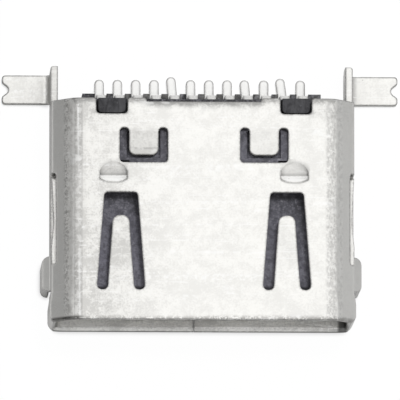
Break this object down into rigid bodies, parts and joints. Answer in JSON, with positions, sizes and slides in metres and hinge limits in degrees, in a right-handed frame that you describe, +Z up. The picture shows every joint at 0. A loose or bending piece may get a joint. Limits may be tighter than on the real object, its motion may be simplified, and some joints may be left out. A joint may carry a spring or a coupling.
{
  "type": "mini usb socket",
  "caption": "Board-mount mini usb socket: folded metal shell with spring fingers and locking tabs, black insulator with a contact tongue, bent contacts and fishtailed solder arms.",
  "frame": {"origin": "middle of the shell's underside on the board plane, midway between the mouth and the rear edge", "axes": "+X along the row of contacts, -Y out of the plug mouth, +Z up from the board"},
  "size_m": [0.0108, 0.0071, 0.0033],
  "materials": {
    "plated_sheet": "bright nickel plate over folded sheet, lightly scuffed",
    "black_insulator": "moulded black plastic, fine matt",
    "plated_contact": "tin plate on the tails"
  },
  "bodies": {
    "root": {"shell": "plated_sheet", "housing": "black_insulator", "contact_01": "plated_contact", "contact_02": "plated_contact", "contact_03": "plated_contact", "contact_04": "plated_contact", "contact_05": "plated_contact", "contact_06": "plated_contact", "contact_07": "plated_contact", "contact_08": "plated_contact", "contact_09": "plated_contact", "contact_10": "plated_contact", "contact_11": "plated_contact", "contact_12": "plated_contact"}
  },
  "joints": []
}
